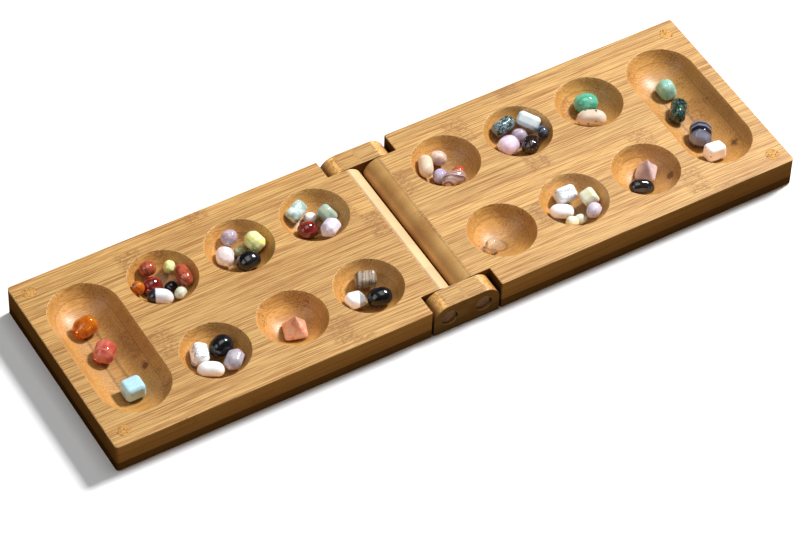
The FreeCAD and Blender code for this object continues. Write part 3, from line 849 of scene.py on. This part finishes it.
def plated_metal(name):
    """Bright nickel plate with fine scratches."""
    finish = Finish(name)
    where = finish.where()
    scratches = finish.noise(where, 2400, 4, 0.7, 1.5)
    shine = finish.mix(scratches, (0.62, 0.61, 0.58), (0.74, 0.73, 0.70))
    finish.set("Base Color", shine)
    finish.set("Roughness", finish.ramp(scratches, 0.3, 0.7, 0.16, 0.34))
    finish.set("Metallic", 1.0)
    return finish.material


# How each kind of stone looks: pattern, main and second colour, pattern scale in marks per metre,
# how much the second colour covers, how clear the stone is, roughness
STONE_LOOKS = {
    "amber": ("cloudy", (0.66, 0.15, 0.008), (0.90, 0.30, 0.02), 160, 0.5, 0.55, 0.08),
    "cherry": ("cloudy", (0.62, 0.075, 0.05), (0.85, 0.28, 0.20), 190, 0.4, 0.35, 0.08),
    "sky_blue": ("veined", (0.42, 0.68, 0.80), (0.52, 0.75, 0.84), 130, 0.5, 0.0, 0.20),
    "brick": ("mottled", (0.40, 0.085, 0.040), (0.22, 0.035, 0.018), 420, 0.45, 0.0, 0.14),
    "garnet": ("cloudy", (0.12, 0.010, 0.007), (0.30, 0.030, 0.018), 210, 0.4, 0.15, 0.06),
    "lemon": ("mottled", (0.76, 0.76, 0.22), (0.88, 0.88, 0.50), 260, 0.5, 0.0, 0.14),
    "pale_yellow": ("cloudy", (0.84, 0.80, 0.52), (0.92, 0.90, 0.74), 200, 0.5, 0.10, 0.14),
    "black": ("cloudy", (0.004, 0.004, 0.005), (0.012, 0.012, 0.014), 200, 0.5, 0.0, 0.16),
    "clear": ("cloudy", (0.90, 0.72, 0.50), (0.96, 0.84, 0.66), 150, 0.5, 0.80, 0.03),
    "clear_black": ("sided", (0.025, 0.025, 0.035), (0.90, 0.90, 0.94), 260, -0.002, 0.25, 0.05),
    "lime_white": ("cloudy", (0.68, 0.68, 0.48), (0.86, 0.85, 0.74), 220, 0.5, 0.25, 0.10),
    "lilac_clear": ("cloudy", (0.62, 0.48, 0.62), (0.86, 0.78, 0.86), 240, 0.5, 0.45, 0.06),
    "milky_rose": ("mottled", (0.84, 0.72, 0.72), (0.95, 0.90, 0.89), 210, 0.5, 0.15, 0.10),
    "olive": ("mottled", (0.36, 0.36, 0.16), (0.58, 0.55, 0.30), 320, 0.5, 0.10, 0.12),
    "sea_green": ("mottled", (0.34, 0.48, 0.42), (0.66, 0.76, 0.72), 260, 0.5, 0.05, 0.14),
    "white": ("cloudy", (0.93, 0.91, 0.91), (0.99, 0.98, 0.98), 160, 0.5, 0.05, 0.10),
    "aqua": ("banded", (0.42, 0.58, 0.56), (0.58, 0.62, 0.34), 60, 0.35, 0.15, 0.10),
    "lilac_white": ("cloudy", (0.80, 0.74, 0.88), (0.92, 0.88, 0.95), 140, 0.5, 0.20, 0.12),
    "howlite": ("veined", (0.93, 0.93, 0.92), (0.32, 0.32, 0.34), 120, 0.5, 0.0, 0.16),
    "lilac_grey": ("mottled", (0.58, 0.53, 0.60), (0.72, 0.66, 0.72), 330, 0.5, 0.35, 0.20),
    "salmon": ("mottled", (0.80, 0.33, 0.20), (0.86, 0.52, 0.38), 230, 0.5, 0.05, 0.24),
    "striped_grey": ("banded", (0.40, 0.31, 0.22), (0.15, 0.11, 0.08), 700, -0.52, 0.0, 0.20),
    # The white stone's grey side is painted shade
    "white_with_painted_shade": ("sided", (0.98, 0.98, 0.98), (0.34, 0.34, 0.34), 300, 0.003, 0.0, 0.12),
    "beige": ("spotted", (0.72, 0.56, 0.40), (0.42, 0.28, 0.18), 330, 0.10, 0.0, 0.20),
    "rose_beige": ("mottled", (0.56, 0.38, 0.31), (0.74, 0.58, 0.48), 300, 0.5, 0.0, 0.20),
    "lilac_smooth": ("cloudy", (0.36, 0.29, 0.42), (0.56, 0.50, 0.66), 120, 0.5, 0.05, 0.10),
    "striped_rose": ("banded", (0.52, 0.36, 0.31), (0.13, 0.055, 0.05), 330, 1.9, 0.0, 0.18),
    "red": ("cloudy", (0.50, 0.055, 0.022), (0.62, 0.10, 0.05), 260, 0.5, 0.10, 0.10),
    "moss": ("veined", (0.030, 0.060, 0.058), (0.42, 0.52, 0.56), 240, 0.6, 0.0, 0.10),
    "pale_blue": ("cloudy", (0.70, 0.84, 0.88), (0.86, 0.94, 0.96), 150, 0.5, 0.10, 0.12),
    "rose_lilac": ("cloudy", (0.70, 0.50, 0.68), (0.90, 0.80, 0.90), 160, 0.5, 0.20, 0.08),
    "speckled_brown": ("spotted", (0.018, 0.010, 0.008), (0.30, 0.22, 0.20), 700, 0.12, 0.0, 0.12),
    "hematite": ("cloudy", (0.030, 0.045, 0.070), (0.10, 0.14, 0.20), 140, 0.5, 0.0, 0.06),
    "green": ("cloudy", (0.055, 0.36, 0.22), (0.18, 0.56, 0.40), 210, 0.5, 0.10, 0.06),
    "spotted_beige": ("spotted", (0.66, 0.53, 0.41), (0.05, 0.045, 0.05), 270, 0.20, 0.0, 0.20),
    "grey_spot": ("veined", (0.80, 0.83, 0.87), (0.26, 0.28, 0.31), 80, 0.35, 0.0, 0.14),
    "lilac_spot": ("spotted", (0.74, 0.66, 0.76), (0.20, 0.17, 0.18), 380, 0.18, 0.25, 0.10),
    "pale_green": ("cloudy", (0.62, 0.66, 0.52), (0.80, 0.80, 0.70), 220, 0.5, 0.15, 0.12),
    "rose": ("cloudy", (0.72, 0.49, 0.48), (0.86, 0.68, 0.66), 190, 0.5, 0.15, 0.14),
    "brown_black": ("spotted", (0.018, 0.014, 0.013), (0.10, 0.08, 0.07), 520, 0.15, 0.0, 0.07),
    "light_green": ("cloudy", (0.20, 0.50, 0.38), (0.46, 0.72, 0.60), 150, 0.5, 0.15, 0.06),
    "dark_green": ("veined", (0.004, 0.012, 0.009), (0.08, 0.17, 0.13), 260, 0.5, 0.0, 0.10),
    "banded_grey": ("banded", (0.22, 0.22, 0.29), (0.008, 0.008, 0.014), 70, 1.9, 0.0, 0.05),
    "white_rose": ("spotted", (0.93, 0.85, 0.82), (0.62, 0.40, 0.34), 320, 0.07, 0.0, 0.18),
}

# The look of each stone: look, then its place from the hollow's middle in millimetres, by which
# it finds its solid
STONES = {
    "left_store": [("amber", -1.5, 25.5), ("cherry", -0.5, 4.5), ("sky_blue", 0.5, -26.5)],
    "left_back_outer": [
        ("garnet", -5, 3), ("clear_black", -6, -8), ("brick", 11.5, -1.5), ("brick", -3, 12),
        ("lime_white", 5.5, -10), ("lemon", 8.5, 9), ("black", 4.5, -0.5), ("amber", -14, 2),
    ],
    "left_back_middle": [
        ("black", 1.5, -7.5), ("lemon", 10.5, 2), ("milky_rose", -8, 1.5),
        ("lilac_clear", 0, 11.5), ("olive", 2.5, 4),
    ],
    "left_back_inner": [
        ("lilac_white", 5, -9), ("garnet", -5, -2), ("aqua", 8.5, 2), ("sea_green", -5.5, 10.5),
        ("white", 1, 6.5),
    ],
    "left_front_outer": [
        ("white", -6.5, -7), ("lilac_grey", 7.5, -7), ("black", 6, 5), ("howlite", -7, 5),
    ],
    "left_front_middle": [("salmon", 1, -0.5)],
    "left_front_inner": [("white_with_painted_shade", -9, -1.5), ("black", 4, -5), ("striped_grey", 3, 8.5)],
    "right_back_inner": [
        ("striped_rose", -1, -10.5), ("beige", -10, 5), ("lilac_smooth", -4.5, -2),
        ("rose_beige", 0.5, 9), ("red", 6, -3.5),
    ],
    "right_back_middle": [
        ("rose_lilac", -7, -2), ("speckled_brown", 4, -8), ("moss", -3, 10.5),
        ("pale_blue", 11, 6.5), ("lilac_clear", 3.5, 3.5), ("hematite", 13.5, -4.5),
    ],
    "right_back_outer": [("green", 2, 5.5), ("spotted_beige", -2.5, -7.5)],
    "right_front_inner": [("clear", -5.5, -1)],
    "right_front_middle": [
        ("white", -7.5, 0), ("grey_spot", 0, 9), ("pale_yellow", 10.5, 0.5),
        ("lilac_spot", 7.5, -9), ("pale_green", -0.5, -8), ("pale_yellow", -7.5, -10.5),
    ],
    "right_front_outer": [("rose", 3.5, 4), ("brown_black", -6.5, -6.5)],
    "right_store": [
        ("light_green", 1, 24.5), ("dark_green", -2.5, 6), ("banded_grey", -2, -16.5),
        ("white_rose", -2.5, -32),
    ],
}


FACETED = (
    "amber", "cherry", "sky_blue", "lemon", "pale_yellow", "lime_white", "lilac_grey", "howlite",
    "sea_green", "aqua", "pale_blue", "salmon", "striped_grey", "lilac_white", "milky_rose",
    "white_with_painted_shade", "speckled_brown", "moss", "rose", "grey_spot", "white_rose", "dark_green",
    "banded_grey",
)
POINTED = ("rose", "salmon")


def stone_pattern(finish, kind, where, scale, cover):
    """How much of the second colour shows at a place, for each kind of stone pattern."""
    if kind == "cloudy":
        cloud = finish.noise(where, scale, 3, 0.5, 0.6)
        return finish.ramp(cloud, 0.30, 0.72)
    if kind == "mottled":
        cloud = finish.noise(where, scale, 5, 0.65, 0.8)
        return finish.ramp(cloud, 1 - cover - 0.06, 1 - cover + 0.10)
    if kind == "veined":
        cloud = finish.noise(where, scale, 4, 0.6, 1.6)
        line = finish.absolute(finish.minus(cloud, 0.5))
        return finish.ramp(line, 0.005, 0.02 + 0.05 * cover, 0.85, 0)
    if kind == "spotted":
        cells = finish.cells(where, scale)
        chance = finish.parts(cells["Color"])["X"]
        ragged = finish.times_plus(finish.noise(where, scale * 6, 3), 0.35, cells["Distance"])
        spot = finish.ramp(ragged, 0.30, 0.42, 1, 0)
        return finish.times(spot, finish.ramp(chance, 1 - cover * 4, 1 - cover * 4 + 0.02))
    if kind == "banded":
        place = finish.parts(where)
        slanted = finish.times_plus(place["Y"], cover, place["X"])
        wavy = finish.times_plus(finish.noise(where, scale * 0.4, 2), 2.2 / scale, slanted)
        bands = finish.noise(finish.combine(wavy, 0.0, 0.0), scale, 2, 0.6)
        return finish.ramp(bands, 0.42, 0.60)
    # Sided: one side of the stone, cut off by a plane, takes the second colour; on the white stone that
    # side is painted shade
    place = finish.parts(where)
    cut = finish.times_plus(place["Y"], -0.45, place["X"])
    cut = finish.times_plus(finish.noise(where, scale, 2), 0.0012, cut)
    return finish.ramp(cut, cover - 0.0004, cover + 0.0004)


def stone_material(name, middle=None):
    """A polished stone of the named look: two colours in a pattern, some of it clear."""
    kind, main, second, scale, cover, clear, rough = STONE_LOOKS[name]
    finish = Finish(f"stone_{name}")
    where = finish.where()
    if kind == "sided":
        local = finish.node("VectorMath", {0: where, 1: middle}, operation="SUBTRACT").outputs[0]
        factor = stone_pattern(finish, kind, local, scale, cover)
    else:
        factor = stone_pattern(finish, kind, where, scale, cover)
    finish.set("Base Color", finish.mix(factor, main, second))
    finish.set("Roughness", rough)
    finish.set("IOR", 1.54 if clear < 0.7 else 1.25)
    finish.set("Transmission Weight", clear)
    finish.set("Coat Weight", 0.25)
    finish.set("Coat Roughness", 0.06)
    if 0 < clear < 0.7 or min(main) > 0.3:
        finish.set("Subsurface Weight", 0.25)
        finish.set("Subsurface Radius", (1.0, 0.8, 0.7))
        finish.set("Subsurface Scale", 0.002)
    relief = finish.noise(where, 420, 3, 0.5)
    finish.bump(0.12, 0.0002, relief)
    return finish.material


# Operators


class MANCALA_OT_boards(bpy.types.Operator):
    """Build both halves of the board with their hollows"""

    bl_idname = "mancala.boards"
    bl_label = "Board halves"

    def execute(self, context):
        sizes = context.scene.mancala_board
        points, faces = board_half(sizes)
        material = bamboo("board_bamboo", context.scene.mancala_bamboo)
        for side, sign in SIDES.items():
            turned = points * np.array([sign, sign, 1])
            add_wood(
                f"{side}_board_bamboo", turned, faces, [material],
                body=f"{side}_half", node=f"{side}_board",
            )
        return {"FINISHED"}


class MANCALA_OT_links(bpy.types.Operator):
    """Build the two hinge links"""

    bl_idname = "mancala.links"
    bl_label = "Hinge links"

    def execute(self, context):
        face, skin = link_half(context.scene.mancala_board)
        look = context.scene.mancala_bamboo
        # The links take a darker side colour, partly painted shade, which reaches round their curved ends
        material = bamboo("link_bamboo", look, (0.93, 0.93, 0.93), (0.8, 1, 1), 0.004, 0.45, 0.8, 0.0)
        for row, sign in ROWS.items():
            sheets = []
            for half in (1, -1):
                for sheet in (face, skin):
                    moved = sheet * np.array([half, -sign, 1])
                    sheets.append(moved + np.array([0, sign * BOARD_HIGH.y, 0]))
            points, faces = joined(sheets)
            add_wood(
                f"{row}_link_bamboo", points, faces, [material],
                body="hinge_links", node=f"{row}_link",
            )
        return {"FINISHED"}


class MANCALA_OT_dowels(bpy.types.Operator):
    """Build the four dowels that the links turn on"""

    bl_idname = "mancala.dowels"
    bl_label = "Dowels"

    def execute(self, context):
        # The dowels' dark tone is partly their own colour and partly painted shade on their recessed ends
        material = end_grain("dowel_wood", context.scene.mancala_bamboo, 1.3, (0.20, 0.15, 0.08))
        radius = (DOWEL_HIGH.x - DOWEL_LOW.x) / 2
        profile = rod_profile(radius, -DOWEL_HIGH.y, -DOWEL_LOW.y, DOWEL_EASE)
        for side, sign in SIDES.items():
            for row, way in ROWS.items():
                sheet = lathe(profile, (0, 0, 0), "y") * np.array([1, way, 1])
                points, faces = joined([sheet + np.array([sign * PIN_X, 0, PIN_Z])])
                name = f"{side}_{row}_dowel"
                add_wood(
                    f"{name}_turned", points, faces, [material],
                    body=f"{side}_half", node=name,
                )
        return {"FINISHED"}


class MANCALA_OT_plugs(bpy.types.Operator):
    """Build the four plugs and finish the magnets under them"""

    bl_idname = "mancala.plugs"
    bl_label = "Plugs and magnets"

    def execute(self, context):
        material = end_grain("plug_wood", context.scene.mancala_bamboo, 1.0, (0.74, 0.72, 0.68))
        metal = plated_metal("magnet_metal")
        radius = (PLUG_HIGH.x - PLUG_LOW.x) / 2
        profile = rod_profile(radius, PLUG_LOW.z, PLUG_HIGH.z, PLUG_EASE)
        for side, sign in SIDES.items():
            for row, way in ROWS.items():
                base = (sign * PLUG_X, way * PLUG_Y, 0)
                points, faces = joined([lathe(profile, base, "z")])
                name = f"{side}_{row}_plug"
                add_wood(
                    f"{name}_turned", points, faces, [material],
                    body=f"{side}_half", node=name,
                )
                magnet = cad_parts[f"{side}_{row}_magnet"].data
                magnet.materials.clear()
                magnet.materials.append(metal)
        return {"FINISHED"}


class MANCALA_OT_stones(bpy.types.Operator):
    """Build the polished stones of every hollow"""

    bl_idname = "mancala.stones"
    bl_label = "Playing stones"

    def execute(self, context):
        shape = context.scene.mancala_stones
        sizes = context.scene.mancala_board
        directions = cube_directions(shape.steps)
        random = np.random.default_rng(shape.seed)
        plain = {}
        for hollow, looks in STONES.items():
            side = hollow.split("_")[0]
            centre = self.centre(hollow, sizes)
            solids = stone_solids(f"stones_{hollow}")
            sheets, materials, owners = [], [], []
            for look, x, y in looks:
                wanted = centre + np.array([x, y]) / 1000
                far = [np.hypot(*(solid[0][:2] - wanted)) for solid in solids]
                middle, normals, distances = solids[int(np.argmin(far))]
                worn = shape.faceted if look in FACETED else shape.smooth
                reach = stone_reach(directions, normals, distances, worn, shape.dents, random)
                skin = middle + directions * reach[..., None]
                sheets += list(pointed(skin, middle) if look in POINTED else skin)
                owners += [len(materials)] * 6 * shape.steps**2
                if STONE_LOOKS[look][0] == "sided":
                    materials.append(stone_material(look, tuple(middle)))
                else:
                    if look not in plain:
                        plain[look] = stone_material(look)
                    materials.append(plain[look])
            points, faces = joined(sheets)
            name = f"stones_{hollow}"
            piece = add_piece(
                f"{name}_polished", points, faces, materials,
                body=f"{side}_half", node=name,
            )
            piece.data.polygons.foreach_set("material_index", np.array(owners, np.int32))
        return {"FINISHED"}

    def centre(self, hollow, sizes):
        """Middle of a named hollow in plan."""
        side, row, *column = hollow.split("_")
        if row == "store":
            return np.array([SIDES[side] * sizes.store_place, 0])
        x = sizes.pit_first + COLUMNS.index(column[0]) * sizes.pit_pitch
        return np.array([SIDES[side] * x, ROWS[row] * sizes.pit_row])


class MANCALA_OT_studio(bpy.types.Operator):
    """Set up the floor, the light and the camera"""

    bl_idname = "mancala.studio"
    bl_label = "Studio"

    def execute(self, context):
        studio = context.scene.mancala_studio
        aim = Vector(studio.aim)
        level = math.cos(studio.elevation)
        back = Vector(
            (
                math.sin(studio.azimuth) * level,
                -math.cos(studio.azimuth) * level,
                math.sin(studio.elevation),
            )
        )
        camera = bpy.data.objects.new("camera", bpy.data.cameras.new("camera"))
        context.scene.collection.objects.link(camera)
        turn = back.to_track_quat("Z", "Y").to_matrix() @ Matrix.Rotation(studio.roll, 3, "Z")
        camera.matrix_world = Matrix.Translation(aim + back * studio.distance) @ turn.to_4x4()
        camera.data.lens = studio.lens
        camera.data.clip_end = 20
        context.scene.camera = camera
        context.scene.view_settings.view_transform = "Standard"

        corners = FLOOR_REACH * np.array([(-1, -1), (1, -1), (1, 1), (-1, 1)])
        mesh = bpy.data.meshes.new("floor")
        mesh.from_pydata([(x, y, -FLOOR_DROP) for x, y in corners], [], [(0, 1, 2, 3)])
        floor = bpy.data.objects.new("floor", mesh)
        context.scene.collection.objects.link(floor)
        finish = Finish("floor")
        finish.set("Base Color", (*studio.floor, 1))
        finish.set("Roughness", 0.9)
        mesh.materials.append(finish.material)

        self.lamp("key", (0.65, 0.10, 0.74), 2.2, studio.key_power, studio.key_size)
        self.lamp("top", (0.0, 0.0, 1.0), 1.8, studio.top_power, studio.top_size)
        self.lamp("fill", (-0.75, 0.0, 0.65), 2.2, studio.fill_power, studio.top_size)

        world = bpy.data.worlds.new("studio")
        world.use_nodes = True
        sky = world.node_tree.nodes["Background"]
        sky.inputs["Color"].default_value = (0.94, 0.97, 1.0, 1)
        sky.inputs["Strength"].default_value = studio.sky
        context.scene.world = world
        return {"FINISHED"}

    def lamp(self, name, towards, distance, power, size):
        """A square lamp that faces the board's middle."""
        light = bpy.data.lights.new(name, "AREA")
        light.energy = power
        light.size = size
        lamp = bpy.data.objects.new(name, light)
        bpy.context.scene.collection.objects.link(lamp)
        towards = Vector(towards).normalized()
        turn = towards.to_track_quat("Z", "Y").to_matrix().to_4x4()
        lamp.matrix_world = Matrix.Translation(towards * distance) @ turn


class MANCALA_PT_panel(bpy.types.Panel):
    """Buttons for each group of pieces"""

    bl_idname = "MANCALA_PT_panel"
    bl_label = "Folding mancala board"
    bl_space_type = "VIEW_3D"
    bl_region_type = "UI"
    bl_category = "Mancala"

    def draw(self, context):
        for operator in OPERATORS:
            self.layout.operator(operator.bl_idname)
        for name in GROUPS:
            group = getattr(context.scene, name)
            box = self.layout.box()
            for key in group.bl_rna.properties.keys():
                if key not in ("rna_type", "name"):
                    box.prop(group, key)


OPERATORS = (
    MANCALA_OT_boards,
    MANCALA_OT_links,
    MANCALA_OT_dowels,
    MANCALA_OT_plugs,
    MANCALA_OT_stones,
    MANCALA_OT_studio,
)
GROUPS = {
    "mancala_board": BoardSizes,
    "mancala_bamboo": BambooLook,
    "mancala_stones": StoneShape,
    "mancala_studio": StudioLook,
}


def register():
    """Register the classes and hang the property groups on the scene."""
    for kind in (*GROUPS.values(), *OPERATORS, MANCALA_PT_panel):
        bpy.utils.register_class(kind)
    for name, kind in GROUPS.items():
        setattr(bpy.types.Scene, name, PointerProperty(type=kind))


def unregister():
    """Take the property groups off the scene and unregister the classes."""
    for name in GROUPS:
        delattr(bpy.types.Scene, name)
    for kind in (MANCALA_PT_panel, *OPERATORS[::-1], *list(GROUPS.values())[::-1]):
        bpy.utils.unregister_class(kind)


def plain(box):
    """A box's two corners as plain lists of numbers."""
    return [[float(value) for value in corner] for corner in box]


def main():
    """Build every piece and the stage."""
    register()
    bpy.ops.mancala.boards()
    bpy.ops.mancala.links()
    bpy.ops.mancala.dowels()
    bpy.ops.mancala.plugs()
    bpy.ops.mancala.stones()
    bpy.ops.mancala.studio()
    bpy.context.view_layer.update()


if __name__ == "__main__":
    main()
